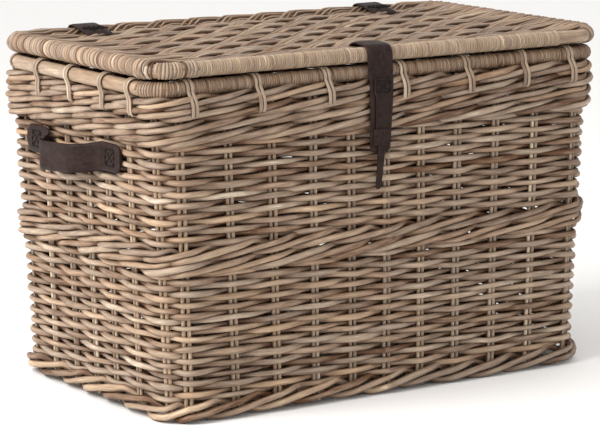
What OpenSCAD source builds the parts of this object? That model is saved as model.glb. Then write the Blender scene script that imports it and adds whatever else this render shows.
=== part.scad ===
// Woven rattan storage trunk: a tapered basket body on paired stakes, a hinged lid woven on a bent
// pole frame, leather hinge straps at the back, a leather closing strap at the front and a leather
// carrying handle on each end. Millimetres, +Z up, origin on the floor under the middle of the trunk,
// front towards -Y.

/* [Body] */
// Half width of the siding at the floor, along X
base_half_x = 346; // [330:1:352]
// Half width of the siding under the rim, along X
top_half_x = 361; // [353:1:364]
// Half depth of the siding at the floor, along Y
base_half_y = 211; // [207:1:212]
// Half depth of the siding under the rim, along Y
top_half_y = 207; // [204:1:208]
// Outer radius of the body's upright corners at the floor
base_corner_r = 57; // [45:1:65]
// Outer radius of the body's upright corners under the rim
top_corner_r = 44; // [40:1:60]
// Thickness of the woven wall, two weavers and the stake between them
wall_t = 20; // [16:1:22]
// Height of the heavy woven border that the trunk stands on
foot_h = 27; // [27:1:36]
// Height where the lower siding ends and the middle waling starts
lower_top = 198; // [170:1:205]
// Height where the middle waling ends and the upper siding starts
middle_top = 233; // [225:1:260]
// Height where the upper siding ends and the top waling starts
upper_top = 368; // [362:1:375]

/* [Stakes] */
// Radius of one stake rod; the rods stand in pairs
stake_r = 3; // [2.5:0.1:3.5]
// Distance between the two rods of a pair
stake_pitch = 7; // [6.5:0.1:8]
// Pairs on the front wall, and on the back wall
stakes_x = 11; // [7:2:13]
// Pairs on each end wall
stakes_y = 7; // [5:2:9]
// How much closer the pairs stand in the middle of a wall
stake_crowding = 0.13; // [0:0.01:0.2]

/* [Rim] */
// Height of the top of the body's rim
rim_top = 451.4; // [445:0.1:452]
// Radius of the rim pole and of the lid's frame pole
pole_r = 9.4; // [8:0.1:10]
// Thickness of the fine cane wound round a pole
binding_t = 1.2; // [0.8:0.1:1.5]
// Width of one cane in a lashing
lash_w = 4.6; // [4:0.1:5]

/* [Lid] */
// Overall width of the lid
lid_w = 750; // [746:1:760]
// Overall depth of the lid over its wound front and back poles
lid_d = 408; // [404:1:412]
// Clear height between the body's rim and the lid
lid_gap = 3.2; // [2.8:0.1:4]
// Radius of the lid's corners at the pole's centre line
lid_corner_r = 32; // [28:1:38]
// Radius of the thick woven roll on each end of the lid
roll_r = 13.5; // [12:0.1:14]
// Rise of the lid panel from its edges to its crown
crown = 5; // [3:0.5:8]
// Sticks across the lid, front to back
lid_sticks_n = 11; // [9:2:13]

/* [Leather] */
// Width of the hinge straps
hinge_w = 40; // [36:1:44]
// Distance of each hinge strap from the middle of the trunk
hinge_x = 243; // [220:1:260]
// Thickness of the hinge straps
hinge_t = 2.5; // [2:0.1:3]
// Width of the closing strap where it crosses the rim
strap_w = 40; // [36:1:42]
// Width of the closing strap at its lower end
strap_end_w = 32; // [28:1:34]
// Thickness of the closing strap
strap_t = 3; // [2.5:0.1:3.2]
// Distance of the closing strap from the middle of the front
strap_x = -16; // [-18:1:0]
// Width of the handle straps
handle_w = 38; // [34:1:42]
// Overall length of a handle between its rounded ends
handle_l = 250; // [230:1:260]
// How far a handle's grip stands off the wall
handle_bow = 31; // [28:1:36]
// Distance of the handles behind the middle of the end walls
handle_y = 18; // [0:1:20]
// Height of the middle of the handles
handle_z = 341; // [335:1:343]

/* [Hidden] */

cane = "#a48c74";
cane_light = "#cbb08c";
cane_dark = "#7e6a58";
leather = "#4a3a34";
thread = "#2a2320";

fine = 64;                                  // facets of round bars
hull_fn = 32;                               // facets of the tapered wall's corners
skin = 1;                                   // thickness of the slices that a wall is hulled from
clear = 0.3;                                // clearance between separate solids

wall_h = rim_top - 2 * (pole_r + binding_t);
waling_proud = 2;                           // how far the waling bands stand out
foot_proud = 5;                             // how far the foot border stands out
floor_z = 14;                               // underside of the floor panel
floor_t = 14;
floor_stick_r = 5;
floor_sticks_n = 9;
stake_inset = 24;                           // last pair of a wall, in from the corner
stake_foot = 4;                             // the stakes stop this far above the floor

wound_r = pole_r + binding_t;               // a pole with its binding
rim_z = rim_top - wound_r;
rim_x = lid_w / 2 - 2 - wound_r;            // rim pole's centre line, half width
rim_y = lid_d / 2 - 2 - wound_r;            // and half depth
rim_corner_r = 40;
lash_t = 2;                                 // thickness of a lashing cane
lash_pitch = 6;                             // distance between the two canes of a lashing
lash_drop = 48;                             // depth of a lashing below the rim's top
front_lash_x = [-312, -208, -99, 24, 132, 230, 312];
back_lash_x = [-308, -204, -96, 20, 136, 308];
side_lash_y = [-145, -76, 13, 97];

lid_z = rim_top + lid_gap;                  // underside of the lid
frame_z = lid_z + wound_r;
frame_x = lid_w / 2 - roll_r - 0.5;         // frame pole's centre line, half width
frame_y = lid_d / 2 - wound_r;              // and half depth
roll_z = lid_z + roll_r;
roll_x = lid_w / 2 - roll_r;
wrap_r = 12;                                // radius of the wraps round the lid's corners
panel_t = 14;
panel_r = 30;                               // radius of the panel's corners
panel_z = lid_z + 4;
lid_stick_r = 4;

hinge_axis_z = rim_top + lid_gap / 2;
hinge_gap = 0.5;                            // a hinge strap's two halves stop this far from its axis
hinge_in = frame_y + wound_r + clear;       // a hinge strap's inner face
hinge_len = 66;                             // length of a hinge strap on the lid's top
hinge_drop = 56;                            // and down the back of the trunk
strap_drop = 130;                           // closing strap, from its fold to its lower end
strap_end_z = frame_z - strap_drop;
strap_lean = 2.4;                           // how much further out its lower end hangs
strap_face = half_y(wall_h) + waling_proud + 0.8 + strap_t;
tongue_t = 2.5;
tongue_top = 434;                           // upper edge of the tongue
tongue_box_h = 21;                          // height of its sewn end
tongue_step = 366;                          // where it narrows under the keeper
tongue_tip = 285;
keeper_h = 22;

handle_t = 3.5;
patch_l = 50;                               // length of a handle's sewn end
grip_half = 58;                             // half length of the part that can lift
grip_gap = 0.5;
lean = atan((top_half_x - base_half_x) / wall_h);
handle_wall_x = base_half_x + (top_half_x - base_half_x) * handle_z / wall_h;
stitch_r = 0.9;

function mix(a, b, t) = a + (b - a) * t;
function half_x(z) = mix(base_half_x, top_half_x, z / wall_h);
function half_y(z) = mix(base_half_y, top_half_y, z / wall_h);
function corner_r(z) = mix(base_corner_r, top_corner_r, z / wall_h);
// Distance from the middle plane to a rounded rectangle's long side, at u along it
function edge(u, half_u, half_v, r) =
    abs(u) <= half_u - r ? half_v
    : half_v - r + sqrt(max(0, r * r - pow(abs(u) - (half_u - r), 2)));
// Place of pair k of n along a wall, from -1 to 1, a little crowded towards the middle
function crowd(k, n) =
    let (u = 2 * k / (n - 1) - 1) u * (1 - stake_crowding * (1 - abs(u)));

// A round rod from point p to point q
module rod(p, q, r) {
    v = q - p;
    translate(p)
        rotate([0, acos(v.z / norm(v)), atan2(v.y, v.x)])
            cylinder(h = norm(v), r = r, $fn = fine);
}

// Solid of the body's tapered outline between two heights, grown or shrunk by grow
module outline_block(z0, z1, grow) {
    hull()
        for (z = [z0, z1], sx = [-1, 1], sy = [-1, 1])
            translate([sx * (half_x(z) - corner_r(z)), sy * (half_y(z) - corner_r(z)), z])
                cylinder(h = skin, r = corner_r(z) + grow, $fn = hull_fn);
}

// One woven band of the wall
module band(z0, z1, proud) {
    difference() {
        outline_block(z0, z1 - skin, proud);
        outline_block(z0 - 1, z1 + 1, -wall_t);
    }
}

// A pair of stake rods that stands in a long wall at fraction t, or in an end wall
module stake_pair(t, on_end, side) {
    half_u0 = (on_end ? half_y(0) : half_x(0)) - wall_t / 2;
    half_u1 = (on_end ? half_y(wall_h) : half_x(wall_h)) - wall_t / 2;
    half_v0 = (on_end ? half_x(0) : half_y(0)) - wall_t / 2;
    half_v1 = (on_end ? half_x(wall_h) : half_y(wall_h)) - wall_t / 2;
    r0 = corner_r(0) - wall_t / 2;
    r1 = corner_r(wall_h) - wall_t / 2;
    for (s = [-1, 1]) {
        u0 = t * (half_u0 - stake_inset) + s * stake_pitch / 2;
        u1 = t * (half_u1 - stake_inset) + s * stake_pitch / 2;
        v0 = side * edge(u0, half_u0, half_v0, r0);
        v1 = side * edge(u1, half_u1, half_v1, r1);
        rod(on_end ? [v0, u0, stake_foot] : [u0, v0, stake_foot],
            on_end ? [v1, u1, wall_h - 1] : [u1, v1, wall_h - 1], stake_r);
    }
}

module stakes(n, on_end, side) {
    color(cane_dark)
        for (k = [0 : n - 1])
            stake_pair(crowd(k, n), on_end, side);
}

// Straight bar along X or Y with the 2D child as its section
module bar_x(x0, x1, y, z) {
    translate([x0, y, z]) rotate([90, 0, 90]) linear_extrude(x1 - x0) children();
}
module bar_y(y0, y1, x, z) {
    translate([x, y1, z]) rotate([90, 0, 0]) linear_extrude(y1 - y0) children();
}
// Quarter of a ring round the corner at signs sx, sy, with the 2D child as its section
module bend(sx, sy, half_u, half_v, r, z) {
    start = sx > 0 ? (sy > 0 ? 0 : 270) : (sy > 0 ? 90 : 180);
    translate([sx * (half_u - r), sy * (half_v - r), z])
        rotate([0, 0, start])
            rotate_extrude(angle = 90, $fn = fine)
                translate([r, 0]) children();
}
module disc(r) { circle(r = r, $fn = fine); }
module sleeve(inner, outer) {
    difference() {
        disc(outer);
        disc(inner);
    }
}

// A pole bent to a rounded rectangle, with its centre line at half_u, half_v
module pole_ring(half_u, half_v, r, z) {
    for (s = [-1, 1]) {
        bar_x(-half_u + r, half_u - r, s * half_v, z) disc(pole_r);
        bar_y(-half_v + r, half_v - r, s * half_u, z) disc(pole_r);
        for (t = [-1, 1])
            bend(s, t, half_u, half_v, r, z) disc(pole_r);
    }
}

module floor_panel() {
    color(cane) outline_block(floor_z, floor_z + floor_t - skin, -wall_t - clear);
}
module floor_sticks() {
    reach = base_half_y - wall_t / 2 - stake_r - 1.5;
    span = base_half_x - 70;
    color(cane_dark)
        for (k = [0 : floor_sticks_n - 1]) {
            x = mix(-span, span, k / (floor_sticks_n - 1));
            rod([x, -reach, floor_z + floor_t / 2], [x, reach, floor_z + floor_t / 2],
                floor_stick_r);
        }
}
module foot_border() {
    color(cane) band(0, foot_h, foot_proud);
}
module lower_siding() {
    color(cane) band(foot_h, lower_top, 0);
}
module middle_waling() {
    color(cane_light) band(lower_top, middle_top, waling_proud);
}
module upper_siding() {
    color(cane) band(middle_top, upper_top, 0);
}
module top_waling() {
    color(cane_light) band(upper_top, wall_h, waling_proud);
}

module rim_pole() {
    color(cane_light) pole_ring(rim_x, rim_y, rim_corner_r, rim_z);
}
// Fine cane wound round the rim along one long side and round both of its corners
module rim_binding(s) {
    color(cane) {
        bar_x(-rim_x + rim_corner_r, rim_x - rim_corner_r, s * rim_y, rim_z)
            sleeve(pole_r + 0.05, wound_r);
        for (t = [-1, 1])
            bend(t, s, rim_x, rim_y, rim_corner_r, rim_z) sleeve(pole_r + 0.05, wound_r);
    }
}
module rim_front_binding() { rim_binding(-1); }
module rim_back_binding() { rim_binding(1); }

// Section of a lashing: a loop over the pole and down both faces of the wall. The pole is at the
// origin and the wall's middle is offset by d.
module lash_outline(d, half_wall, r, low) {
    disc(r);
    translate([d - half_wall, low]) square([2 * half_wall, -low - 4]);
}
module lash_section(d) {
    low = wound_r - lash_drop;
    half_wall = wall_t / 2 + waling_proud + clear;
    difference() {
        lash_outline(d, half_wall + lash_t, wound_r + lash_t, low);
        lash_outline(d, half_wall, wound_r + 0.05, low + lash_t);
    }
}
module lash_pair_x(x, s) {
    wall_mid = half_y(rim_z - lash_drop) - wall_t / 2 - rim_y;
    for (k = [-1, 1])
        bar_x(x + k * lash_pitch / 2 - lash_w / 2, x + k * lash_pitch / 2 + lash_w / 2,
              s * rim_y, rim_z)
            lash_section(s * wall_mid);
}
module lash_pair_y(y, s) {
    wall_mid = half_x(rim_z - lash_drop) - wall_t / 2 - rim_x;
    for (k = [-1, 1])
        bar_y(y + k * lash_pitch / 2 - lash_w / 2, y + k * lash_pitch / 2 + lash_w / 2,
              s * rim_x, rim_z)
            lash_section(s * wall_mid);
}
module rim_lashings() {
    color(cane_light)
        for (s = [-1, 1]) {
            for (x = s < 0 ? front_lash_x : back_lash_x)
                lash_pair_x(x, s);
            for (y = side_lash_y)
                lash_pair_y(y, s);
        }
}

module lid_frame_pole() {
    color(cane_light) pole_ring(frame_x, frame_y, lid_corner_r, frame_z);
}
module lid_binding(s) {
    color(cane_light)
        bar_x(-frame_x + lid_corner_r, frame_x - lid_corner_r, s * frame_y, frame_z)
            sleeve(pole_r + 0.05, wound_r);
}
module lid_front_binding() { lid_binding(-1); }
module lid_back_binding() { lid_binding(1); }
// The lid's weavers turned round the end pole, as one thick roll
module lid_roll(s) {
    color(cane)
        bar_y(-frame_y + lid_corner_r, frame_y - lid_corner_r, 0, 0)
            difference() {
                translate([s * roll_x, roll_z]) disc(roll_r);
                translate([s * frame_x, frame_z]) disc(pole_r + 0.05);
            }
}
module lid_left_roll() { lid_roll(-1); }
module lid_right_roll() { lid_roll(1); }
module lid_corner_wraps() {
    color(cane)
        for (s = [-1, 1], t = [-1, 1])
            bend(s, t, frame_x, frame_y, lid_corner_r, frame_z)
                difference() {
                    translate([0, wrap_r - wound_r]) disc(wrap_r);
                    disc(pole_r + 0.05);
                }
}
// Rounded rectangular slice of the lid panel
module panel_slice(half_u, half_v, r, z) {
    for (sx = [-1, 1], sy = [-1, 1])
        translate([sx * (half_u - r), sy * (half_v - r), z])
            cylinder(h = skin, r = r, $fn = hull_fn);
}
module lid_panel() {
    half_u = roll_x - roll_r - clear;
    half_v = frame_y - wound_r - clear;
    color(cane_dark)
        hull() {
            panel_slice(half_u, half_v, panel_r, panel_z);
            panel_slice(half_u, half_v, panel_r, panel_z + panel_t - skin);
            panel_slice(half_u * 0.6, half_v * 0.55, panel_r, panel_z + panel_t + crown - skin);
        }
}
module lid_sticks() {
    reach = frame_y - wound_r - 1;
    color(cane_light)
        for (k = [0 : lid_sticks_n - 1]) {
            x = crowd(k, lid_sticks_n) * (frame_x - 52);
            rod([x, -reach, panel_z + panel_t / 2], [x, reach, panel_z + panel_t / 2],
                lid_stick_r);
        }
}

// Side view of a leather strap that lies on the lid for len and turns down round a pole at the
// origin with its inner face at radius r, as far down as bottom
module strap_over_pole(len, r, t, bottom) {
    top = panel_z + panel_t + crown - frame_z + clear;
    flat = -2 * wound_r;
    polygon([[0, r], [0, r + t], [flat, top + t], [-len, top + t], [-len, top], [flat, top]]);
    intersection() {
        difference() {
            disc(r + t);
            disc(r);
        }
        translate([0, max(bottom, 0)]) square(r + t);
    }
    if (bottom < 0)
        translate([r, bottom]) square([t, -bottom]);
}
module hinge_lid_leather(s) {
    color(leather)
        bar_x(s * hinge_x - hinge_w / 2, s * hinge_x + hinge_w / 2, frame_y, frame_z)
            strap_over_pole(hinge_len, hinge_in - frame_y, hinge_t,
                            hinge_axis_z + hinge_gap - frame_z);
}
module left_hinge_lid_leather() { hinge_lid_leather(-1); }
module right_hinge_lid_leather() { hinge_lid_leather(1); }

// The same strap's lower half, from the lid's joint down over the rim and the waling
module hinge_body_leather(s) {
    over = half_y(wall_h) + waling_proud + lash_t;
    color(leather)
        bar_x(s * hinge_x - hinge_w / 2, s * hinge_x + hinge_w / 2, 0, 0)
            polygon([[hinge_in, hinge_axis_z - hinge_gap],
                     [hinge_in + hinge_t, hinge_axis_z - hinge_gap],
                     [hinge_in + hinge_t, rim_z + 2],
                     [over + hinge_t, wall_h - 4],
                     [over + hinge_t + 0.4, rim_top - hinge_drop],
                     [over + 0.4, rim_top - hinge_drop],
                     [over, wall_h - 4],
                     [hinge_in, rim_z + 2]]);
}
module left_hinge_body_leather() { hinge_body_leather(-1); }
module right_hinge_body_leather() { hinge_body_leather(1); }

// A cross of two threads in the plane across axis Z, centred on the origin
module cross_stitch(size) {
    for (k = [0, 1])
        rotate([0, 0, 45 + 90 * k])
            translate([0, 0, k * (2 * stitch_r + 0.05)])
                rod([-size / 2, 0, 0], [size / 2, 0, 0], stitch_r);
}

module closing_strap_tab() {
    color(leather)
        translate([strap_x, 0, 0])
            mirror([0, 1, 0])
                bar_x(-strap_w / 2, strap_w / 2, frame_y, frame_z)
                    strap_over_pole(34, wound_r + clear, strap_t, 0.5);
}
// Side view of the closing strap, from its fold down over the waling
module strap_profile() {
    over = strap_face - strap_t;
    fold = frame_y + wound_r + clear;
    polygon([[-fold, frame_z - 0.3], [-fold - strap_t, frame_z - 0.3],
             [-fold - strap_t, rim_top - 2], [-strap_face, wall_h + 4],
             [-strap_face - strap_lean, strap_end_z], [-over - strap_lean, strap_end_z],
             [-over, wall_h + 4], [-fold, rim_top - 2]]);
}
module closing_strap() {
    color(leather)
        translate([strap_x, 0, 0])
            intersection() {
                bar_x(-strap_w / 2, strap_w / 2, 0, 0) strap_profile();
                translate([0, -150, 0])
                    rotate([90, 0, 0])
                        linear_extrude(120)
                            polygon([[-strap_w / 2, frame_z], [strap_w / 2, frame_z],
                                     [strap_w / 2, rim_top], [strap_end_w / 2, strap_end_z + 5],
                                     [strap_end_w / 2 - 4, strap_end_z - 1],
                                     [-strap_end_w / 2 + 4, strap_end_z - 1],
                                     [-strap_end_w / 2, strap_end_z + 5],
                                     [-strap_w / 2, rim_top]]);
            }
}
module closing_tongue() {
    z_box = tongue_top - tongue_box_h;
    color(leather)
        translate([strap_x, 0, 0])
            intersection() {
                bar_x(-15, 15, 0, 0)
                    polygon([[-strap_face - clear, wall_h + 4],
                             [-strap_face - clear - tongue_t, wall_h + 4],
                             [-strap_face - strap_lean - clear - tongue_t, strap_end_z],
                             [-strap_face - tongue_t + 1, tongue_tip],
                             [-strap_face + 1, tongue_tip],
                             [-strap_face - strap_lean - clear, strap_end_z]]);
                translate([0, -150, 0])
                    rotate([90, 0, 0])
                        linear_extrude(120)
                            polygon([[-14, 440], [14, 440], [14, z_box], [11, z_box - 3],
                                     [10, tongue_step], [6.5, tongue_step - 12],
                                     [4.5, tongue_tip + 4], [2.5, tongue_tip - 1],
                                     [-2.5, tongue_tip - 1], [-4.5, tongue_tip + 4],
                                     [-6.5, tongue_step - 12], [-10, tongue_step],
                                     [-11, z_box - 3], [-14, z_box]]);
            }
}
// The small loop on the closing strap that holds the tongue down
module tongue_keeper() {
    inner = strap_face + strap_lean + 2 * clear + tongue_t;
    z1 = tongue_step + 1;
    color(leather)
        translate([strap_x, 0, z1 - keeper_h])
            linear_extrude(keeper_h)
                difference() {
                    translate([-13.5, -inner - 2]) square([27, inner + 2 - strap_face - strap_lean]);
                    translate([-11.5, -inner]) square([23, 20]);
                }
}
module closing_stitches() {
    color(thread)
        translate([strap_x, -strap_face - clear - tongue_t - 1.6, tongue_top - tongue_box_h / 2])
            rotate([90, 0, 0]) cross_stitch(15);
}

// Stand-off of a handle's inner face from the wall, at y from the handle's middle
function stand_off(y) =
    let (u = (abs(y) - 34) / (handle_l / 2 - patch_l - 34))
    u <= 0 ? handle_bow - 2 * pow(y / 34, 2) * 0.5
    : u >= 1 ? 0.6
    : 0.6 + (handle_bow - 1.6) * (0.5 + 0.5 * cos(180 * u));
module handle_plan(y0, y1, steps) {
    ys = [for (k = [0 : steps]) mix(y0, y1, k / steps)];
    polygon(concat([for (y = ys) [stand_off(y), y]],
                   [for (k = [steps : -1 : 0]) [stand_off(ys[k]) + handle_t, ys[k]]]));
}
// Places a part on an end wall at the handle's middle, with +X pointing away from the wall
module on_end_wall(s) {
    translate([s * handle_wall_x, handle_y, handle_z])
        mirror([s < 0 ? 1 : 0, 0, 0])
            rotate([0, lean, 0])
                children();
}
module handle_grip(s) {
    color(leather)
        on_end_wall(s)
            translate([0, 0, -handle_w / 2])
                linear_extrude(handle_w) handle_plan(-grip_half, grip_half, 28);
}
module left_handle_grip() { handle_grip(-1); }
module right_handle_grip() { handle_grip(1); }
module handle_ends(s) {
    flat_end = handle_l / 2 - patch_l;
    color(leather)
        on_end_wall(s)
            for (m = [0, 1])
                mirror([0, m, 0]) {
                    translate([0, 0, -handle_w / 2])
                        linear_extrude(handle_w) handle_plan(grip_half + grip_gap, flat_end + 2, 8);
                    translate([0.6, 0, 0])
                        rotate([90, 0, 90])
                            linear_extrude(handle_t)
                                intersection() {
                                    translate([flat_end + 2, -handle_w / 2])
                                        square([patch_l - 2, handle_w]);
                                    translate([handle_l / 2 - 30, 0]) circle(r = 30, $fn = fine);
                                }
                }
}
module left_handle_ends() { handle_ends(-1); }
module right_handle_ends() { handle_ends(1); }

module body_stitches() {
    over = half_y(wall_h) + waling_proud + lash_t + hinge_t;
    color(thread) {
        for (s = [-1, 1], m = [-1, 1])
            on_end_wall(s)
                translate([0.6 + handle_t + stitch_r + 0.1, m * (handle_l / 2 - 22), 0])
                    rotate([90, 0, 90]) cross_stitch(16);
        for (s = [-1, 1])
            translate([s * hinge_x, over + stitch_r + 0.6, rim_top - hinge_drop + 14])
                rotate([90, 0, 180]) cross_stitch(16);
    }
}
module lid_stitches() {
    top = panel_z + panel_t + crown + clear + hinge_t;
    color(thread)
        for (s = [-1, 1])
            translate([s * hinge_x, frame_y - hinge_len + 16, top + stitch_r + 0.1])
                cross_stitch(18);
}

module front_stakes() { stakes(stakes_x, false, -1); }
module back_stakes() { stakes(stakes_x, false, 1); }
module left_stakes() { stakes(stakes_y, true, -1); }
module right_stakes() { stakes(stakes_y, true, 1); }

floor_panel();
floor_sticks();
foot_border();
lower_siding();
middle_waling();
upper_siding();
top_waling();
front_stakes();
back_stakes();
left_stakes();
right_stakes();
rim_pole();
rim_front_binding();
rim_back_binding();
rim_lashings();
left_hinge_body_leather();
right_hinge_body_leather();
left_handle_ends();
right_handle_ends();
body_stitches();
lid_frame_pole();
lid_front_binding();
lid_back_binding();
lid_left_roll();
lid_right_roll();
lid_corner_wraps();
lid_panel();
lid_sticks();
left_hinge_lid_leather();
right_hinge_lid_leather();
closing_strap_tab();
lid_stitches();
closing_strap();
closing_tongue();
tongue_keeper();
closing_stitches();
left_handle_grip();
right_handle_grip();
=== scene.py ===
"""Looks of a woven rattan storage trunk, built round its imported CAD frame.

Metres, +Z up, front towards -Y. Every rod, cane and strap takes its place from the frame's nodes.
"""
import math

import bpy
import numpy as np
from mathutils import Matrix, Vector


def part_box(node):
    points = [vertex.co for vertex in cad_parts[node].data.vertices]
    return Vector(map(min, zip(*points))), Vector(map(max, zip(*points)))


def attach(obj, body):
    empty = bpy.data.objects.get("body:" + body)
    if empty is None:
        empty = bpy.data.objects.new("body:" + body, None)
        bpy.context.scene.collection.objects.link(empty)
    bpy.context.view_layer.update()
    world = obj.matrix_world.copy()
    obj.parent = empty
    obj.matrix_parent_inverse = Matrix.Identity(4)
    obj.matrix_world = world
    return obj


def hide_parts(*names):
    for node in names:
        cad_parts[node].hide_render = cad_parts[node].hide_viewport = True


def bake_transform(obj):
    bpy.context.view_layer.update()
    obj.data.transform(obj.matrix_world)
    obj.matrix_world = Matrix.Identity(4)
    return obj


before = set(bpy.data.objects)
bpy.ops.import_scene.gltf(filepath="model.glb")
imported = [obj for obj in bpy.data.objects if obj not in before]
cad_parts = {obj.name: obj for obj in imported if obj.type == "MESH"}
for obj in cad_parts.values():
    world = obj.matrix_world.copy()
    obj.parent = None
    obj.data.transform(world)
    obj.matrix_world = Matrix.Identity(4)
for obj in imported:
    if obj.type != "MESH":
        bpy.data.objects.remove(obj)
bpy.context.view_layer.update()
rng = np.random.default_rng(11)

RIGHT, BACK, UP = np.eye(3)

# ---- Camera, floor and light ----

LENS = 174.7            # millimetres, on a 36 mm sensor
CAM_AZ = -33.87         # degrees, from straight in front of the trunk
CAM_EL = 10.33
CAM_DISTANCE = 4.0628
CAM_RIGHT = -0.0055     # shift of the aim point to the right and up, and its height
CAM_UP = -0.2325
CAM_AIM_Z = 0.452
VIEW_REACH = 60         # how far the camera sees, in metres

KEY_AZ, KEY_EL = -88, 34            # degrees, as the camera's: the key light is on the left
KEY_DISTANCE, KEY_SIZE = 3.2, 1.6
KEY_AIM_Z = 0.25
KEY_POWER = 105                     # watts
KEY_COLOUR = (1.0, 0.97, 0.94)
SKY_COLOUR = (1.0, 0.985, 0.965, 1.0)
SKY_STRENGTH = 0.98
FLOOR_HALF = 14.0


def look_along(az, el):
    """The unit vectors back, right and up of a view from azimuth az and elevation el, in degrees."""
    a, e = math.radians(az), math.radians(el)
    back = np.array([math.sin(a) * math.cos(e), -math.cos(a) * math.cos(e), math.sin(e)])
    right = np.array([math.cos(a), math.sin(a), 0.0])
    return back, right, np.cross(back, right)


def place(obj, position, back, right, up):
    """Puts a camera or light at a position, looking against back."""
    rows = [[right[i], up[i], back[i], position[i]] for i in range(3)]
    obj.matrix_world = Matrix(rows + [[0, 0, 0, 1]])
    bpy.context.scene.collection.objects.link(obj)


def make_camera():
    back, right, up = look_along(CAM_AZ, CAM_EL)
    camera = bpy.data.cameras.new("camera")
    camera.lens = LENS
    camera.clip_end = VIEW_REACH
    position = back * CAM_DISTANCE + right * CAM_RIGHT + up * CAM_UP + UP * CAM_AIM_Z
    obj = bpy.data.objects.new("camera", camera)
    place(obj, position, back, right, up)
    bpy.context.scene.camera = obj


def make_light():
    """A pale sky all round, and a square soft light that looks at the middle of the trunk."""
    scene = bpy.context.scene
    scene.view_settings.view_transform = "Standard"
    scene.world = bpy.data.worlds.new("studio")
    scene.world.use_nodes = True
    sky = scene.world.node_tree.nodes["Background"]
    sky.inputs["Color"].default_value = SKY_COLOUR
    sky.inputs["Strength"].default_value = SKY_STRENGTH
    back, right, up = look_along(KEY_AZ, KEY_EL)
    light = bpy.data.lights.new("key", "AREA")
    light.size = KEY_SIZE
    light.energy = KEY_POWER
    light.color = KEY_COLOUR
    obj = bpy.data.objects.new("key", light)
    place(obj, back * KEY_DISTANCE + UP * KEY_AIM_Z, back, right, up)


# ---- Materials ----


def srgb(red, green, blue):
    """A colour given in the 0-255 scale of a screen, as Blender's linear colour."""
    def linear(c):
        c /= 255
        return c / 12.92 if c <= 0.04045 else ((c + 0.055) / 1.055) ** 2.4
    return (linear(red), linear(green), linear(blue), 1.0)


class Material:
    """A node material around one Principled shader."""

    def __init__(self, name):
        self.made = bpy.data.materials.new(name)
        self.made.use_nodes = True
        self.tree = self.made.node_tree
        self.shader = self.tree.nodes["Principled BSDF"]

    def set(self, node, values):
        """Gives a node's inputs, by name or number, a value or a link from another socket."""
        for key, value in values.items():
            if isinstance(value, bpy.types.NodeSocket):
                self.tree.links.new(value, node.inputs[key])
            else:
                node.inputs[key].default_value = value

    def add(self, kind, settings=None, inputs=None):
        node = self.tree.nodes.new("ShaderNode" + kind)
        for key, value in (settings or {}).items():
            setattr(node, key, value)
        self.set(node, inputs or {})
        return node.outputs[0]

    def attribute(self, name):
        node = self.tree.nodes.new("ShaderNodeAttribute")
        node.attribute_name = name
        return node.outputs["Vector"]

    def split(self, name):
        """The three parts of a vector attribute."""
        return self.add("SeparateXYZ", None, {0: self.attribute(name)}).node.outputs[:3]

    def ramp(self, value, stops):
        node = self.tree.nodes.new("ShaderNodeValToRGB")
        self.tree.links.new(value, node.inputs[0])
        while len(node.color_ramp.elements) < len(stops):
            node.color_ramp.elements.new(0.5)
        for element, (position, colour) in zip(node.color_ramp.elements, stops):
            element.position = position
            element.color = colour
        return node.outputs[0]

    def math(self, operation, a, b):
        return self.add("Math", {"operation": operation}, {0: a, 1: b})

    def mix(self, blend, factor, a, b):
        node = self.tree.nodes.new("ShaderNodeMix")
        node.data_type = "RGBA"
        node.blend_type = blend
        self.set(node, {0: factor, 6: a, 7: b})
        return node.outputs[2]

    def noise(self, vector, stretch, detail, roughness):
        """Noise on a vector in metres; stretch is how many grains a metre holds each way."""
        scaled = self.add("VectorMath", {"operation": "MULTIPLY"}, {0: vector, 1: stretch})
        return self.add("TexNoise", None, {"Vector": scaled, "Scale": 1.0, "Detail": detail,
                                           "Roughness": roughness})

    def bump(self, height, strength, distance, below=None):
        inputs = {"Height": height, "Strength": strength, "Distance": distance}
        if below is not None:
            inputs["Normal"] = below
        return self.add("Bump", None, inputs)


def grey(value):
    return (value, value, value, 1.0)


# Grains that noise has in a metre: along a rod, across it and through it
FIBRES = (26, 1100, 1100)
STAINS = (12, 90, 90)
BARK = (45, 330, 330)
SPECKS = (160, 420, 420)
FOLDS = (140, 220, 220)
BLOTCHES = (28, 40, 40)

# Grey canes and yellowish canes from dark to light, at these places on a ramp; the dark end also
# colours the painted shade behind stakes and sticks
TONE_PLACES = (0.0, 0.35, 0.7, 1.0)
COOL = [srgb(86, 59, 39), srgb(133, 115, 100), srgb(164, 148, 131), srgb(212, 199, 182)]
WARM = [srgb(92, 60, 35), srgb(147, 119, 95), srgb(180, 152, 122), srgb(220, 198, 165)]
SPECK = srgb(92, 72, 58)
# Painted shade on a cane's sides, where it lies against the next one, rising to painted light on its
# face
SIDE_SHADE_FACE_LIGHT = [(0.0, (0.42, 0.30, 0.21, 1.0)), (0.55, (0.94, 0.92, 0.90, 1.0)),
         (1.0, (1.20, 1.19, 1.18, 1.0))]


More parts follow.
